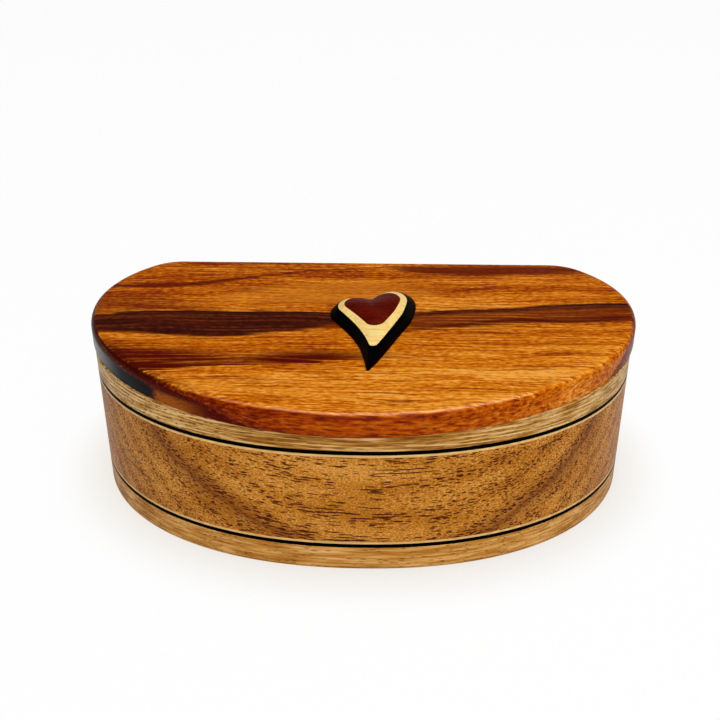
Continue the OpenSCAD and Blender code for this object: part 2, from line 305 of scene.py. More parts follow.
def heart_curve(d):
    """Heart moved in by d: two lobe arcs joined by a fillet in the cleft, straight flanks and a round tip."""
    r = LOBE_R - LOBE_SHRINK * d
    x = HEART_W / 2 - d - r
    y = LOBE_R - LOBE_DROP * d - r
    fillet = CLEFT_R + CLEFT_GROWTH * d
    fillet_y = y + math.sqrt((r + fillet) ** 2 - x ** 2)
    tip = TIP_R + TIP_GROWTH * d ** TIP_POWER
    tip_y = tip + DOME_TAIL_IN * (d / DOME_IN) ** TAIL_POWER - HEART_TAIL
    flank = math.atan2(x, y - tip_y) + math.asin((r - tip) / math.hypot(x, y - tip_y))
    to_fillet = math.atan2(fillet_y - y, -x)
    end = arc(0, tip_y, tip, -math.pi / 2, -flank, TIP_STEPS)
    lobe = arc(x, y, r, -flank, to_fillet, LOBE_STEPS)
    reach = np.array([x + r * math.cos(flank), y - r * math.sin(flank)]) - end[-1]
    right = np.concatenate([
        end,
        end[-1] + reach * np.linspace(0, 1, FLANK_STEPS + 1)[1:, None],
        lobe,
        arc(0, fillet_y, fillet, to_fillet - math.pi, -math.pi / 2, TIP_STEPS),
    ])
    return np.concatenate([[(0, tip_y - tip)], right, right[-2::-1] * (-1, 1)])


def carved(curve, d, z):
    """Puts a heart curve, moved in by d, on the lid as the carver's hand drew it. With t the way down the
    tail, the tail gets a waist as t^2 (1 - t) and a bend as t to a power. The cleft stands out of the
    middle, the right lobe stands higher, and the whole figure is turned a little."""
    x, y = curve.T
    down = -np.minimum(0, y) / HEART_TAIL
    waist = TAIL_WAIST * (1 - d / WAIST_END) * down ** 2 * np.maximum(0, 1 - down) / WAIST_PEAK
    x = x * (1 - 2 * waist / HEART_W)
    x = x - TAIL_BEND * down ** BEND_POWER - CLEFT_SHIFT * (1 - (2 * x / HEART_W) ** 2)
    y = y + HEART_LEAN * 2 * np.maximum(x, 0) / HEART_W * np.clip((y - LEAN_FROM) / LEAN_RISE, 0, 1)
    c = math.cos(HEART_TILT)
    s = math.sin(HEART_TILT)
    turned = np.stack([c * x - s * y, s * x + c * y], -1)
    return level(turned + (HEART_X, WIDEST_Y - HEART_FORE), LID_TOP + z)


def heart_foot(name):
    """Black foot of the heart: an upright edge, then a slope that levels off to its top as
    1 - (1 - k)^FOOT_CURVE."""
    loops = [carved(heart_curve(0), 0, 0)]
    for k in np.linspace(0, 1, FOOT_STEPS + 1):
        rise = (FOOT_H - FOOT_EDGE) * (1 - (1 - k) ** FOOT_CURVE)
        loops.append(carved(heart_curve(BAND_IN * k), BAND_IN * k, FOOT_EDGE + rise))
    return stacked(name, loops)


def heart_band(name):
    """Pale band of the heart: an even slope from the foot's top to the dome's rim."""
    loops = []
    for k in np.linspace(0, 1, BAND_STEPS + 1):
        d = BAND_IN + (DOME_IN - BAND_IN) * k
        loops.append(carved(heart_curve(d), d, FOOT_H + BAND_H * k))
    return stacked(name, loops)


def heart_dome(name):
    """Dark red dome of the heart: its rim drawn in by k towards a point while the height rises as 1 - k^2."""
    middle = (0, -DOME_TOP_DOWN * HEART_TAIL)
    outline = heart_curve(DOME_IN) - middle
    foot = FOOT_H + BAND_H
    loops = [carved(outline * k + middle, DOME_IN, foot + DOME_H * (1 - k ** 2)) for k in DOME_STATIONS]
    return stacked(name, loops)


# Suede lining: how far out and how far up each station of its edge lies, as shares, and the rings of its top
LINING_GAP = 0.3
LINING_EDGE = ((0.992, 0), (1, 0.3), (1, 0.6), (0.997, 0.85), (0.99, 1))
LINING_RINGS = 26
LINING_FIELD = 0.97
LINING_MIDDLE = 0.02

# Ripple of the lining: its depth, the lengths in which its waves turn by a radian, and the shift of one
RIPPLE_DEPTH = 0.12
RIPPLE_X = 9.0
RIPPLE_Y = 11.0
RIPPLE_SWAY = 13.0
RIPPLE_SHIFT = 0.7


def lining(name, node):
    """Loose suede sheet: rings from the middle of its underside out to its rounded edge and back to the
    middle of its top, which is rippled by a tenth of a millimetre as one sine wave times another."""
    z0, z1 = heights(node)
    edge = cavity_plan(-LINING_GAP)
    middle = np.array([0, edge[:, 1].mean()])

    def ring(k, z):
        """The sheet's edge drawn in to a share k, at height z less the ripple of its top."""
        plan = middle + (edge - middle) * k
        x, y = plan.T
        ripple = np.sin(x / RIPPLE_X + np.sin(y / RIPPLE_SWAY)) * np.sin(y / RIPPLE_Y + RIPPLE_SHIFT)
        return level(plan, z) - (0, 0, 1) * (RIPPLE_DEPTH * (1 + ripple) / 2)[:, None] * (z > z0)

    loops = [ring(LINING_MIDDLE, z0)]
    loops += [ring(k, z0 + (z1 - z0) * up) for k, up in LINING_EDGE]
    loops += [ring(k, z1) for k in np.linspace(LINING_FIELD, LINING_MIDDLE, LINING_RINGS)]
    return stacked(name, loops)


def tone(red, green, blue):
    """An sRGB colour of 0 to 255 as the linear colour that a shader takes: c / 12.92 near black, and
    ((c + 0.055) / 1.055)^2.4 above that, with c the share of 255."""
    srgb = np.array([red, green, blue]) / 255
    return (*np.where(srgb <= 0.04045, srgb / 12.92, ((srgb + 0.055) / 1.055) ** 2.4).tolist(), 1.0)


class Nodes:
    """Nodes of a material or of the world. Most methods add one or a few and return what comes out."""

    def __init__(self, owner):
        owner.use_nodes = True
        self.tree = owner.node_tree

    def feed(self, socket, value):
        """Links an output to a socket, or sets the socket to a value."""
        if isinstance(value, bpy.types.NodeSocket):
            self.tree.links.new(value, socket)
        else:
            socket.default_value = value

    def set(self, node, **inputs):
        """Sets or links a node's inputs by name."""
        for key, value in inputs.items():
            self.feed(node.inputs[key], value)

    def add(self, kind, settings=None, **inputs):
        """A node with its settings and inputs."""
        node = self.tree.nodes.new(kind)
        for key, value in (settings or {}).items():
            setattr(node, key, value)
        self.set(node, **inputs)
        return node

    def math(self, operation, *values):
        """One arithmetic step."""
        node = self.add("ShaderNodeMath", {"operation": operation})
        for socket, value in zip(node.inputs, values):
            self.feed(socket, value)
        return node.outputs[0]

    def plus(self, *values):
        """The sum of several values."""
        return reduce(partial(self.math, "ADD"), values)

    def times(self, *values):
        """The product of several values."""
        return reduce(partial(self.math, "MULTIPLY"), values)

    def most(self, *values):
        """The greatest of several values."""
        return reduce(partial(self.math, "MAXIMUM"), values)

    def minus(self, value, other):
        """A value less another."""
        return self.math("SUBTRACT", value, other)

    def scaled(self, value, factor, shift):
        """A value times a factor, plus a shift."""
        return self.math("MULTIPLY_ADD", value, factor, shift)

    def swing(self, noise, size):
        """Noise of 0 to 1 as a swing of the given size about zero."""
        return self.scaled(noise, size, -size / 2)

    def ramped(self, value, low, high, to_low=0.0, to_high=1.0):
        """A number eased from to_low to to_high as a value goes from low to high."""
        ends = {"From Min": low, "From Max": high, "To Min": to_low, "To Max": to_high}
        eased = {"interpolation_type": "SMOOTHSTEP"}
        return self.add("ShaderNodeMapRange", eased, Value=value, **ends).outputs[0]

    def faded(self, value, low, high, full=1.0):
        """A number eased from full to 0 as a value goes from low to high."""
        return self.ramped(value, low, high, full, 0.0)

    def over(self, under, colour, amount, blend="MIX"):
        """A colour laid over another by an amount of 0 to 1. Inputs 6 and 7 are the node's two colours."""
        node = self.add("ShaderNodeMix", {"data_type": "RGBA", "blend_type": blend})
        self.feed(node.inputs[0], amount)
        self.feed(node.inputs[6], under)
        self.feed(node.inputs[7], colour)
        return node.outputs[2]


# How level a face is, as its normal's z: where it starts to count as less than upright, and where as flat
STEEP = 0.55
FLAT = 0.98

# How far to either side of zero the points of a drawn line may lie, and the unit of lines that draw a share
LINE_REACH = 110
PER_CENT = 0.01


class Finish(Nodes):
    """Surface finish of a piece, drawn in millimetres of the box's frame."""

    def __init__(self, name, **shader):
        self.material = bpy.data.materials.new(name)
        super().__init__(self.material)
        self.shader = self.tree.nodes["Principled BSDF"]
        self.set(self.shader, **{key.replace("_", " "): value for key, value in shader.items()})
        coordinates = self.add("ShaderNodeTexCoord").outputs
        self.place = self.fitted(coordinates["Object"], (MM, MM, MM))
        self.x, self.y, self.z = self.add("ShaderNodeSeparateXYZ", Vector=self.place).outputs
        facing = self.add("ShaderNodeSeparateXYZ", Vector=coordinates["Normal"]).outputs["Z"]
        self.upright = self.faded(self.math("ABSOLUTE", facing), STEEP, FLAT)

    def fitted(self, vector, size):
        """A place counted in steps of the given size along x, y and z."""
        return self.add("ShaderNodeMapping", Vector=vector, Scale=tuple(1 / s for s in size)).outputs[0]

    def joined(self, x, y, z):
        """A place made of its three coordinates."""
        return self.add("ShaderNodeCombineXYZ", X=x, Y=y, Z=z).outputs[0]

    def noise(self, size, detail=2.0, roughness=0.5, vector=None):
        """Soft noise, about 0.5, with spots of the given size."""
        node = self.add("ShaderNodeTexNoise", Vector=self.fitted(vector or self.place, size), Scale=1.0,
                        Detail=detail, Roughness=roughness)
        return node.outputs["Fac"]

    def grains(self, size, vector=None):
        """Distance to the nearest of many scattered grains, 0 at a grain and about 1 a grain's size away."""
        node = self.add("ShaderNodeTexVoronoi", Vector=self.fitted(vector or self.place, size), Scale=1.0)
        return node.outputs["Distance"]

    def shades(self, value, *stops):
        """A colour from a value, through stops of (value, colour)."""
        node = self.add("ShaderNodeValToRGB", Fac=value)
        ramp = node.color_ramp.elements
        while len(ramp) < len(stops):
            ramp.new(0.5)
        for element, (at, colour) in zip(ramp, stops):
            element.position = at
            element.color = colour
        return node.outputs["Color"]

    def line(self, along, *points):
        """A smooth line through points of millimetres, each within LINE_REACH of zero both ways."""
        whole = 2 * LINE_REACH
        node = self.add("ShaderNodeFloatCurve", Value=self.scaled(along, 1 / whole, 0.5))
        curve = node.mapping.curves[0]
        while len(curve.points) < len(points):
            curve.points.new(0.5, 0.5)
        for point, (a, b) in zip(curve.points, points):
            point.location = (a / whole + 0.5, b / whole + 0.5)
        node.mapping.update()
        return self.scaled(node.outputs[0], whole, -LINE_REACH)

    def turned(self, flat, steep):
        """A number that is one value on flat faces and another on upright ones. Inputs 2 and 3 are the
        node's two numbers."""
        node = self.add("ShaderNodeMix")
        self.feed(node.inputs[0], self.upright)
        self.feed(node.inputs[2], flat)
        self.feed(node.inputs[3], steep)
        return node.outputs[0]

    def done(self, colour, height, depth, roughness=None):
        """Joins the colour, the relief and the sheen to the shader."""
        self.feed(self.shader.inputs["Base Color"], colour)
        bump = self.add("ShaderNodeBump", Height=height, Distance=depth * MM)
        self.feed(self.shader.inputs["Normal"], bump.outputs[0])
        if roughness is not None:
            self.feed(self.shader.inputs["Roughness"], roughness)
        return self.material


class LidFinish(Finish):
    """The lid's finish, with what its ground, its streaks and its edge share: the depth under the top face,
    fibres that waver along the board, and the way across the growth layers, which dip towards the front
    under the top."""

    def __init__(self):
        super().__init__("lid_wood", Roughness=0.32)
        self.under = self.minus(LID_TOP, self.z)
        waver = self.swing(self.noise((60, 22, 22), detail=1.0), 9.0)
        self.grain = self.joined(self.x, self.plus(self.y, waver), self.z)
        dip = self.scaled(self.under, 1.8, self.ramped(self.under, 0, 2.6, 0, 14))
        rag = self.swing(self.noise((34, 1.4, 1.4), roughness=0.6, vector=self.grain), 6.0)
        self.across = self.plus(self.y, dip, rag)
        self.fibre = self.noise((18, 1.0, 1.0), roughness=0.6, vector=self.grain)
        self.fleck = self.noise((2.6, 1.0, 1.0), detail=1.0, roughness=0.6, vector=self.grain)
        self.dark_fibre = self.noise((50, 1.1, 1.1), vector=self.grain)
        self.dark_lines = self.ramped(self.dark_fibre, 0.32, 0.52, 0.5, 1.0)

    def streak(self, front, back, front_soft, back_soft):
        """1 inside a streak along the board and 0 outside it. Its front and its back edge are drawn lines,
        and each is soft over a length inside the streak."""
        from_front = self.ramped(self.minus(self.across, self.line(self.x, *front)), 0, front_soft)
        from_back = self.ramped(self.minus(self.line(self.x, *back), self.across), 0, back_soft)
        return self.times(from_front, from_back)


# In the functions that draw a finish, f is that finish
def lid_ground(f):
    """Orange-brown ground of the lid: lighter to the front and the right, darker on the edge, partly as the
    edge wood's own colour and partly as painted shade on faces turned from the top light, with clouds,
    fibres, flecks and thin dark threads."""
    cloud = f.noise((80, 7, 7), detail=3.0, vector=f.grain)
    by_depth = f.line(f.y, (-66, 80), (-46, 80), (-36, 76), (-20, 66), (10, 65), (30, 57), (58, 52))
    right_front = f.times(f.ramped(f.x, -10, 30), f.faded(f.y, -28, -16, 0.12))
    light = f.scaled(by_depth, PER_CENT, f.ramped(f.x, -70, 70, 0.0, 0.1))
    light = f.plus(light, right_front, f.swing(cloud, 1.3), f.swing(f.fibre, 1.4))
    light = f.scaled(f.minus(f.fleck, 0.49), f.ramped(f.upright, 0.0, 1.0, 1.3, 0.7), light)
    # Painted shade in part: upright faces are darkened, less at the right, as faces turned from the top light
    light = f.scaled(f.upright, f.ramped(f.x, 20, 80, -0.48, -0.12), light)
    colour = f.shades(f.times(light, 0.8), (0.0, tone(98, 22, 0)), (0.24, tone(146, 52, 0)),
                      (0.44, tone(187, 86, 0)), (0.64, tone(215, 120, 12)), (0.8, tone(234, 144, 38)),
                      (1.0, tone(248, 170, 70)))
    threads = f.ramped(f.noise((30, 0.9, 0.9), detail=1.0, vector=f.grain), 0.59, 0.67)
    return f.over(colour, tone(114, 24, 2), f.times(threads, 0.65))


RED_BROWN = tone(96, 14, 0)

# Back edge of the lid's broad dark streak, and the width of the seam along it
DARK_BACK = [(-110, 4), (-98, 5.5), (-84, 8), (-66, 9.5), (-28, 10), (-10, 9.5), (20, 11), (40, 13.5),
             (59, 16), (82, 19), (104, 21)]
SEAM_W = 2.6


def lid_dark_streak(f, colour):
    """Broad dark streak across the middle of the lid: a pale zone and a dusky one behind it, a red-brown
    margin in front, a dark core that ends black at the left, and a seam along its back."""
    pale = f.streak([(-110, 10), (-60, 14), (-40, 12), (0, 14), (20, 18), (40, 28), (104, 40)],
                    [(-110, 12), (-60, 24), (-40, 34), (0, 40), (20, 36), (40, 29), (104, 41)], 8.0, 8.0)
    colour = f.over(colour, tone(236, 148, 40), f.times(pale, 0.35))
    dusk = f.streak(DARK_BACK, [(-110, 32), (-80, 28), (-56, 18), (-30, 11), (0, 10), (104, 20)], 0.5, 14.0)
    colour = f.over(colour, RED_BROWN, f.times(dusk, 0.5))
    margin = f.streak([(-110, -11), (-80, -11), (-53, -14), (-35, -11), (-22, -8), (-9, -6), (20, -6),
                       (57, -2), (79, 0), (104, 3)], DARK_BACK, 5.0, 1.5)
    colour = f.over(colour, RED_BROWN, f.times(margin, f.dark_lines, 0.85))
    core = f.streak([(-110, -10), (-80, -10.5), (-71, -11.5), (-53, -13.5), (-44, -12.5), (-35, -10.5),
                     (-22, -7), (-10, -2), (10, 3), (30, 7), (59, 10.5), (82, 13.5), (104, 16)],
                    DARK_BACK, 3.0, 1.5)
    core_light = f.plus(f.dark_fibre, f.swing(f.fleck, 0.5))
    core_colour = f.shades(core_light, (0.3, tone(44, 6, 0)), (0.5, tone(68, 17, 3)),
                           (0.7, tone(112, 46, 16)))
    colour = f.over(colour, core_colour, core)
    colour = f.over(colour, tone(10, 5, 4), f.times(core, f.faded(f.x, -101, -98)))
    seam = f.streak([(x, y - SEAM_W) for x, y in DARK_BACK], DARK_BACK, 1.0, 1.0)
    return f.over(colour, tone(40, 6, 0), f.times(seam, f.faded(f.x, -20, 0, 0.7)))


def lid_thin_streaks(f, colour):
    """Thinner streaks of the lid: one that splits off the dark streak at the right, a red-brown one in
    front of it, one at the left rear and one along the right rear."""
    split = f.streak([(-110, -36), (0, -14), (20, -6), (40, -2), (57, 0.5), (80, 2), (104, 6)],
                     [(-110, -35), (0, -13), (20, -2), (40, 3), (57, 6), (80, 7.5), (104, 11)], 3.0, 2.0)
    colour = f.over(colour, tone(80, 6, 0), f.times(split, f.dark_lines, 0.9))
    front = f.streak([(-110, -34), (-84, -36), (-71, -37), (-55, -35), (-42, -33), (-18, -31), (0, -28),
                      (30, -25), (62, -20), (104, -13)],
                     [(-110, -12), (-84, -14), (-62, -17), (-42, -20.5), (-18, -17), (0, -18), (30, -22),
                      (62, -18), (104, -11)], 1.2, 9.0)
    colour = f.over(colour, tone(86, 6, 0), f.times(front, f.dark_lines, f.ramped(f.x, -15, 25, 1.0, 0.5)))
    rear = f.streak([(-110, 27), (-93, 28), (-70, 30), (-50, 36.5), (-20, 45.5), (104, 55.5)],
                    [(-110, 32.5), (-93, 33.5), (-70, 35.5), (-50, 40.5), (-20, 48.5), (104, 57)], 2.0, 1.5)
    colour = f.over(colour, tone(90, 12, 0), f.times(rear, 0.9))
    rear_right = f.streak([(-104, 54), (0, 52), (24, 43), (72, 44), (104, 48)],
                          [(-104, 55), (0, 53), (24, 55), (72, 56), (104, 52)], 5.0, 4.0)
    return f.over(colour, RED_BROWN, f.times(rear_right, 0.9))


# Shares of red, green and blue left on the lid's upright faces: partly end grain that has soaked up the
# finish, partly painted shade of faces turned from the top light
SOAK_AND_PAINTED_SHADE = (0.66, 0.48, 0.45, 1.0)


def lid_edge(f, colour):
    """The lid's edge: scorched and stained dark above the black pocket at the left, clear in front of the
    pocket, marked with short dashes, and darker and redder all round, partly where end grain has soaked up
    the finish and partly as painted shade on faces turned from the top light."""
    from_side = f.math("POWER", f.math("ABSOLUTE", f.math("DIVIDE", f.x, LID_HALF)), LID_FULLNESS)
    from_widest = f.math("ABSOLUTE", f.math("DIVIDE", f.minus(f.y, WIDEST_Y), LID_FRONT))
    outline = f.plus(from_side, f.math("POWER", from_widest, LID_FULLNESS))
    left = f.times(f.line(f.x, (-110, 95), (-76, 95), (-62, 76), (-36, 0), (110, 0)), PER_CENT)
    scorch = f.times(f.ramped(outline, 0.87, 0.97), left, f.faded(f.y, -26, -8))
    colour = f.over(colour, tone(74, 14, 0), f.times(scorch, f.ramped(f.fleck, 0.4, 0.6, 1.0, 0.35)))
    stain = f.times(f.ramped(f.upright, 0.0, 0.2), f.faded(f.upright, 0.6, 1.0), f.faded(f.x, -72, -56))
    colour = f.over(colour, tone(58, 10, 0), f.times(stain, 0.9))
    clear = f.times(f.ramped(f.x, -68, -65), f.faded(f.x, -60, -46, 0.85), f.faded(f.y, 0, 10))
    clear = f.times(clear, f.ramped(f.under, 3.0, 5.0), f.dark_lines, f.ramped(f.upright, 0.5, 0.9))
    colour = f.over(colour, tone(190, 116, 18), clear)
    dashes = f.faded(f.grains((7, 3, 0.8), f.grain), 0.2, 0.32)
    colour = f.over(colour, tone(88, 24, 0), f.times(dashes, f.ramped(f.upright, 0.5, 0.9, 0.0, 0.6)))
    # Painted shade in part: upright faces are darkened and reddened, less at the right; the rest is end
    # grain's soaked finish
    soak_and_shade = f.times(f.ramped(f.upright, 0.15, 0.9), f.ramped(f.x, 10, 70, 1.0, 0.4))
    return f.over(colour, SOAK_AND_PAINTED_SHADE, soak_and_shade, "MULTIPLY")


def lid_pocket(f):
    """1 in the black pocket on the lid's left edge, where the dark streak comes out, and 0 elsewhere."""
    along = f.times(f.ramped(f.across, -24, -18), f.faded(f.across, 22, 30), f.faded(f.x, -69, -66))
    return f.times(along, f.ramped(f.upright, 0.7, 1.0), f.ramped(f.under, 2.2, 3.4))


def lid_gloss(f, pocket):
    """Gloss of the lid: low on its faces, higher on the rounded front arris and at the pocket's left end."""
    arris = f.times(f.ramped(f.upright, 0.0, 0.04), f.faded(f.upright, 0.3, 0.6), f.faded(f.y, -52, -44))
    return f.scaled(arris, 0.7, f.scaled(pocket, f.faded(f.x, -98, -80, 0.25), 0.03))


def lid_wood():
    """Streaked orange-brown wood with fine pores under a semi-gloss finish."""
    f = LidFinish()
    pores = f.faded(f.grains((6, 0.8, 0.7), f.grain), 0.12, 0.2)
    colour = lid_thin_streaks(f, lid_dark_streak(f, lid_ground(f)))
    colour = f.over(colour, tone(94, 20, 2), f.times(pores, 0.5))
    pocket = lid_pocket(f)
    colour = f.over(lid_edge(f, colour), tone(3, 4, 6), pocket)
    f.set(f.shader, **{"Specular IOR Level": lid_gloss(f, pocket)})
    return f.done(colour, f.minus(f.fibre, pores), 0.02, f.ramped(f.fibre, 0.2, 0.8, 0.36, 0.28))


# Growth layer of the wall's dark vein, and how its fibres sweep up to both sides of a middle
VEIN_LAYER = 102
SWEEP_X = 10
SWEEP = -0.0014


def wall_wood():
    """Tan wood, sandy in close view. Its growth layers cross the wall at a slant, with a dark vein in a
    brown band where one comes out on each side. Open pores and a few long checks follow the sweep of its
    fibres."""
    f = Finish("wall_wood", Roughness=0.42, Specular_IOR_Level=0.07)
    slant = f.scaled(f.y, -1.6, f.scaled(f.x, 0.1, f.z))
    layer = f.plus(slant, f.swing(f.noise((60, 16, 16)), 12.0))
    off_vein = f.math("ABSOLUTE", f.minus(layer, VEIN_LAYER))
    band = f.faded(off_vein, 1.0, 9.0)
    vein = f.faded(off_vein, 0.3, 2.0)
    wave = f.math("SINE", f.times(layer, 0.55))
    cloud = f.noise((45, 9, 9), detail=3.0)
    sand = f.noise((0.8, 0.5, 0.42), detail=1.0)
    light = f.plus(f.scaled(cloud, 0.6, 0.25), f.swing(sand, 1.5))
    light = f.scaled(wave, -0.06, light)
    colour = f.shades(light, (0.1, tone(134, 68, 0)), (0.4, tone(164, 98, 14)), (0.6, tone(186, 120, 34)),
                      (0.9, tone(216, 154, 74)))
    colour = f.over(colour, tone(122, 62, 2), f.times(band, 0.5))
    colour = f.over(colour, tone(104, 46, 0), f.times(vein, 0.55))
    crowd = f.scaled(wave, 0.05, f.scaled(band, 0.05, 0.24))
    from_middle = f.math("POWER", f.minus(f.x, SWEEP_X), 2)
    fibres = f.joined(f.x, f.y, f.scaled(from_middle, SWEEP, f.z))
    long_pores = f.faded(f.minus(f.grains((15.0, 1.0, 0.95), fibres), crowd), 0.0, 0.05)
    short_pores = f.faded(f.minus(f.grains((5.5, 0.85, 0.75), fibres), crowd), 0.0, 0.05)
    checks = f.faded(f.grains((110.0, 60.0, 2.2), fibres), 0.1, 0.14)
    pores = f.most(long_pores, short_pores, checks)
    colour = f.over(colour, tone(76, 20, 0), pores)
    relief = f.minus(f.times(sand, 0.3), pores)
    return f.done(colour, relief, 0.05, f.ramped(sand, 0.3, 0.7, 0.48, 0.36))


# Height of one growth ring of the ash
ASH_RING = 1.5


def ash():
    """Pale brown ash: on upright faces nearly level growth rings with rows of pores, on flat faces long
    fibres."""
    f = Finish("ash", Roughness=0.4, Specular_IOR_Level=0.06)
    drift = f.swing(f.noise((60, 20, 20)), 4.0)
    height = f.plus(f.scaled(f.y, 0.05, f.z), drift)
    ring = f.math("FRACT", f.times(height, 1 / ASH_RING))
    early = f.times(f.ramped(ring, 0.1, 0.35), f.faded(ring, 0.6, 0.9), f.upright)
    streak = f.turned(f.noise((40, 1.3, 6), detail=3.0), f.noise((20, 7, 0.65), detail=3.0, roughness=0.7))
    cloud = f.noise((60, 10, 10), detail=3.0)
    light = f.plus(f.scaled(streak, 3.4, -1.56), f.times(cloud, 0.6))
    # Painted light: the rim is lighter towards its flanks, so that its front reads as lying in the lid's
    # shade
    light = f.plus(light, f.ramped(f.math("ABSOLUTE", f.x), 25, 80, 0.0, 0.2))
    colour = f.shades(light, (0.1, tone(136, 84, 18)), (0.4, tone(176, 124, 50)), (0.65, tone(206, 160, 90)),
                      (0.9, tone(228, 190, 130)))
    colour = f.over(colour, tone(124, 74, 18), f.times(early, 0.25))
    pores = f.times(f.faded(f.grains((7.0, 0.95, 0.65)), 0.3, 0.42), f.ramped(early, 0.1, 0.6, 0.1, 1.0))
    colour = f.over(colour, tone(84, 44, 10), f.times(pores, f.ramped(f.x, -75, 75, 0.85, 0.5)))
    relief = f.minus(f.times(streak, 0.4), pores)
    return f.done(colour, relief, 0.06, f.ramped(streak, 0.3, 0.7, 0.44, 0.34))


def base_wood():
    """Light brown wood with streaks and short dark pores, and painted shade on its lowest millimetre, where
    it meets the floor.
    """
    f = Finish("base_wood", Roughness=0.42, Specular_IOR_Level=0.06)
    streak = f.turned(f.noise((34, 1.3, 6), detail=3.0), f.noise((16, 6, 0.9), detail=4.0, roughness=0.65))
    cloud = f.noise((28, 8, 5))
    light = f.plus(f.scaled(streak, 1.6, -0.53), f.scaled(cloud, 0.6, -0.05))
    colour = f.shades(light, (0.1, tone(138, 76, 2)), (0.4, tone(176, 116, 40)), (0.65, tone(210, 156, 82)),
                      (0.9, tone(232, 188, 126)))
    crowd = f.scaled(f.noise((30, 6, 4)), 0.3, 0.07)
    pores = f.faded(f.minus(f.grains((4.5, 0.9, 0.8)), crowd), -0.02, 0.06)
    colour = f.over(colour, tone(104, 52, 4), f.times(pores, 0.65))
    # Painted contact shadow: the lowest millimetre of the base is darkened where it meets the floor
    colour = f.over(colour, tone(104, 56, 10), f.faded(f.z, 0.2, 1.3, 0.6))
    relief = f.minus(f.times(streak, 0.4), pores)
    return f.done(colour, relief, 0.06, f.ramped(streak, 0.3, 0.7, 0.46, 0.36))


def maple(name, *shades):
    """Pale, close-grained maple in three shades, from its dark fibres to its light ones."""
    f = Finish(name, Roughness=0.36, Specular_IOR_Level=0.1)
    streak = f.noise((18, 0.8, 0.8), detail=4.0)
    colour = f.shades(streak, *zip((0.25, 0.5, 0.75), shades))
    return f.done(colour, streak, 0.02, f.ramped(streak, 0.3, 0.7, 0.4, 0.32))


def ebony():
    """Black-dyed wood with a faint grain."""
    f = Finish("ebony", Roughness=0.34, Specular_IOR_Level=0.006)
    streak = f.noise((14, 0.6, 0.6), detail=4.0)
    colour = f.shades(streak, (0.3, tone(0, 0, 0)), (0.75, tone(4, 4, 4)))
    return f.done(colour, streak, 0.03, f.ramped(streak, 0.3, 0.7, 0.42, 0.3))


def heart_red():
    """Dark red-brown wood with darker fibres."""
    f = Finish("heart_red", Roughness=0.34, Specular_IOR_Level=0.015)
    fibre = f.noise((16, 0.9, 0.9), detail=4.0, roughness=0.6)
    cloud = f.noise((12, 6, 6))
    light = f.plus(f.times(fibre, 0.6), f.times(cloud, 0.4))
    colour = f.shades(light, (0.3, tone(64, 6, 0)), (0.5, tone(90, 14, 2)), (0.72, tone(120, 32, 12)))
    pores = f.faded(f.grains((4.0, 0.5, 0.5)), 0.14, 0.26)
    colour = f.over(colour, tone(50, 10, 5), f.times(pores, 0.6))
    return f.done(colour, f.minus(fibre, pores), 0.04, f.ramped(fibre, 0.3, 0.7, 0.4, 0.3))


def suede():
    """Wine-red suede with a short nap that is brushed light and dark in patches."""
    f = Finish("suede", Roughness=0.95, Sheen_Weight=0.35, Sheen_Roughness=0.5, Specular_IOR_Level=0.15)
    nap = f.noise((0.35, 0.35, 0.35), detail=3.0, roughness=0.7)
    brushed = f.noise((26, 18, 18), detail=3.0)
    light = f.plus(f.times(nap, 0.35), f.times(brushed, 0.65))
    colour = f.shades(light, (0.3, tone(66, 16, 22)), (0.5, tone(92, 26, 32)), (0.72, tone(122, 44, 48)))
    return f.done(colour, nap, 0.15)


def brass(name, *shades):
    """Brushed and lacquered brass in two shades."""
    f = Finish(name, Metallic=1.0, Roughness=0.3)
    brushed = f.noise((9, 0.12, 0.12), detail=3.0, roughness=0.6)
    stain = f.noise((7, 7, 7), detail=3.0)
    colour = f.shades(stain, *zip((0.3, 0.7), shades))
    return f.done(colour, brushed, 0.015, f.ramped(brushed, 0.3, 0.7, 0.3, 0.46))


EBONY = ebony()
HINGE_BRASS = brass("hinge_brass", tone(186, 140, 66), tone(222, 182, 104))
SCREW_BRASS = brass("screw_brass", tone(140, 96, 40), tone(176, 130, 62))
MAPLE_LINE = maple("maple_line", tone(190, 142, 76), tone(216, 174, 106), tone(236, 200, 134))
MAPLE_BAND = maple("maple_band", tone(250, 188, 96), tone(255, 220, 134), tone(255, 236, 168))


def fit(piece, body, node, material):
    """Gives a piece its finish, and puts it on its body in place of the frame's node."""
    piece.data.materials.append(material)
    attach(piece, body)
    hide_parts(node)
    return piece


base_board = board("base_board_wood", "base_board", bottom_ease=BASE_EASE)
fit(base_board, "body", "base_board", base_wood())
fit(board("lower_black_veneer", "lower_black_line"), "body", "lower_black_line", EBONY)
fit(board("lower_maple_veneer", "lower_maple_line"), "body", "lower_maple_line", MAPLE_LINE)
fit(hoop("body_wall_wood", "body_wall"), "body", "body_wall", wall_wood())
fit(hoop("upper_maple_veneer", "upper_maple_line"), "body", "upper_maple_line", MAPLE_LINE)
fit(hoop("upper_black_veneer", "upper_black_line"), "body", "upper_black_line", EBONY)
fit(rim("ash_rim_wood", "ash_rim"), "body", "ash_rim", ash())
fit(lid("lid_board_wood", "lid_board"), "lid", "lid_board", lid_wood())
fit(heart_foot("heart_foot"), "lid", "heart_base", EBONY)
fit(heart_band("heart_band"), "lid", "heart_middle", MAPLE_BAND)
fit(heart_dome("heart_dome"), "lid", "heart_top", heart_red())

suede_sheet = fit(lining("suede_sheet", "floor_lining"), "body", "floor_lining", suede())

# The hinges and their screws stay the frame's own solids, in brass
for node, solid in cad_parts.items():
    if node.endswith(("_leaf", "_pin", "_screws")):
        solid.data.materials.clear()
        solid.data.materials.append(SCREW_BRASS if node.endswith("_screws") else HINGE_BRASS)


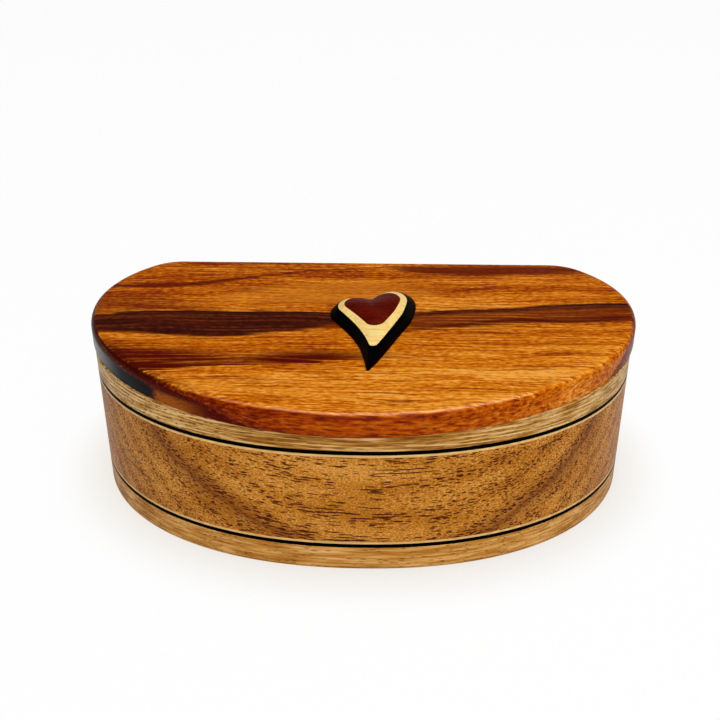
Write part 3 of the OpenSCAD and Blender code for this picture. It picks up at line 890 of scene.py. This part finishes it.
# Studio: its light low down and higher up, and the two rises of a ray between which it dims
HORIZON_LIGHT = 0.8
SKY_LIGHT = 0.06
DIM_FROM = 0.05
DIM_TO = 0.25

# Paper floor in metres: the share of it that shows as plain white, and the painted warm shadow close to the
# box
WHITE = (1.0, 1.0, 1.0, 1.0)
PAPER = (0.95, 0.95, 0.95, 1.0)
FLOOR_HALF = 6.0
FLOOR_GLOW = 0.96
PAINTED_WARM_SHADOW = (0.74, 0.66, 0.54, 1.0)
PAINTED_SHADOW_REACH = 0.022
PAINTED_SHADOW_RAYS = 4

scene = bpy.context.scene
scene.view_settings.view_transform = "Standard"


def studio_world():
    """A studio that is bright low down, as its sweep of paper is, and dims between 3 and 14 degrees up."""
    world = bpy.data.worlds.new("studio")
    nodes = Nodes(world)
    way = nodes.add("ShaderNodeTexCoord").outputs["Generated"]
    rise = nodes.add("ShaderNodeSeparateXYZ", Vector=way).outputs["Z"]
    light = nodes.ramped(rise, DIM_FROM, DIM_TO, HORIZON_LIGHT, SKY_LIGHT)
    nodes.set(nodes.tree.nodes["Background"], Color=WHITE, Strength=light)
    return world


def floor_paper():
    """White paper that shows itself to the camera and in reflections mostly as plain white. It keeps a soft
    shadow and, close to the box, a painted warm shadow that darkens its glow by ambient occlusion."""
    paper = bpy.data.materials.new("floor_paper")
    nodes = Nodes(paper)
    matt = nodes.tree.nodes["Principled BSDF"]
    nodes.set(matt, **{"Base Color": PAPER, "Roughness": 1.0, "Specular IOR Level": 0.0})
    ray = nodes.add("ShaderNodeLightPath").outputs
    seen = nodes.most(ray["Is Camera Ray"], ray["Is Glossy Ray"], ray["Is Transmission Ray"])
    # Painted shadow: the glow's white turns to a warm brown where ambient occlusion finds the box close by
    shade = {"samples": PAINTED_SHADOW_RAYS}
    open_sky = nodes.add("ShaderNodeAmbientOcclusion", shade, Distance=PAINTED_SHADOW_REACH).outputs["AO"]
    white = nodes.add("ShaderNodeEmission", Color=nodes.over(PAINTED_WARM_SHADOW, WHITE, open_sky))
    shown = nodes.add("ShaderNodeMixShader")
    parts = (nodes.times(seen, FLOOR_GLOW), matt.outputs[0], white.outputs[0])
    for socket, value in zip(shown.inputs, parts):
        nodes.feed(socket, value)
    nodes.set(nodes.tree.nodes["Material Output"], Surface=shown.outputs[0])
    return paper


def paper_floor():
    """Square sheet of paper under the box."""
    corners = [(-FLOOR_HALF, -FLOOR_HALF, 0), (FLOOR_HALF, -FLOOR_HALF, 0),
               (FLOOR_HALF, FLOOR_HALF, 0), (-FLOOR_HALF, FLOOR_HALF, 0)]
    mesh = bpy.data.meshes.new("floor")
    mesh.from_pydata(corners, [], [(0, 1, 2, 3)])
    mesh.materials.append(floor_paper())
    sheet = bpy.data.objects.new("floor", mesh)
    scene.collection.objects.link(sheet)
    return sheet


scene.world = studio_world()
floor = paper_floor()


def softbox(name, place, aim, width, height, watts):
    """A broad soft lamp that points from its place to its aim: turned about the upright, then pitched."""
    lamp = bpy.data.lights.new(name, "AREA")
    lamp.shape = "RECTANGLE"
    lamp.size = width
    lamp.size_y = height
    lamp.energy = watts
    holder = bpy.data.objects.new(name, lamp)
    scene.collection.objects.link(holder)
    back = np.array(place, float) - aim
    turn = Matrix.Rotation(math.atan2(back[0], -back[1]), 4, "Z")
    pitch = Matrix.Rotation(math.atan2(math.hypot(back[0], back[1]), back[2]), 4, "X")
    holder.matrix_world = Matrix.Translation(place) @ turn @ pitch


LAMP_AIM = (0.0, 0.0, 0.03)
softbox("front_softbox", (0.15, -0.8, 0.6), LAMP_AIM, width=0.9, height=0.6, watts=6.3)
softbox("top_softbox", (0.1, 0.1, 1.0), LAMP_AIM, width=0.9, height=0.9, watts=5.7)

# Camera that was fitted to the edges of the box in the photograph: place in metres, angles in radians
CAMERA_PLACE = (0.01115, -0.33089, 0.22832)
CAMERA_TURN = 0.03475
CAMERA_PITCH = math.radians(61.58)
CAMERA_ROLL = -0.00324
LENS = 51.02
SENSOR = 36.0
NEAREST = 0.01


def fitted_camera():
    """The camera that sees the box as the photograph does: turned, pitched and rolled at its place."""
    lens = bpy.data.cameras.new("camera")
    lens.lens = LENS
    lens.sensor_width = SENSOR
    lens.clip_start = NEAREST
    camera = bpy.data.objects.new("camera", lens)
    scene.collection.objects.link(camera)
    turn = Matrix.Rotation(CAMERA_TURN, 4, "Z")
    pitch = Matrix.Rotation(CAMERA_PITCH, 4, "X")
    roll = Matrix.Rotation(CAMERA_ROLL, 4, "Z")
    camera.matrix_world = Matrix.Translation(CAMERA_PLACE) @ turn @ pitch @ roll
    return camera


scene.camera = fitted_camera()
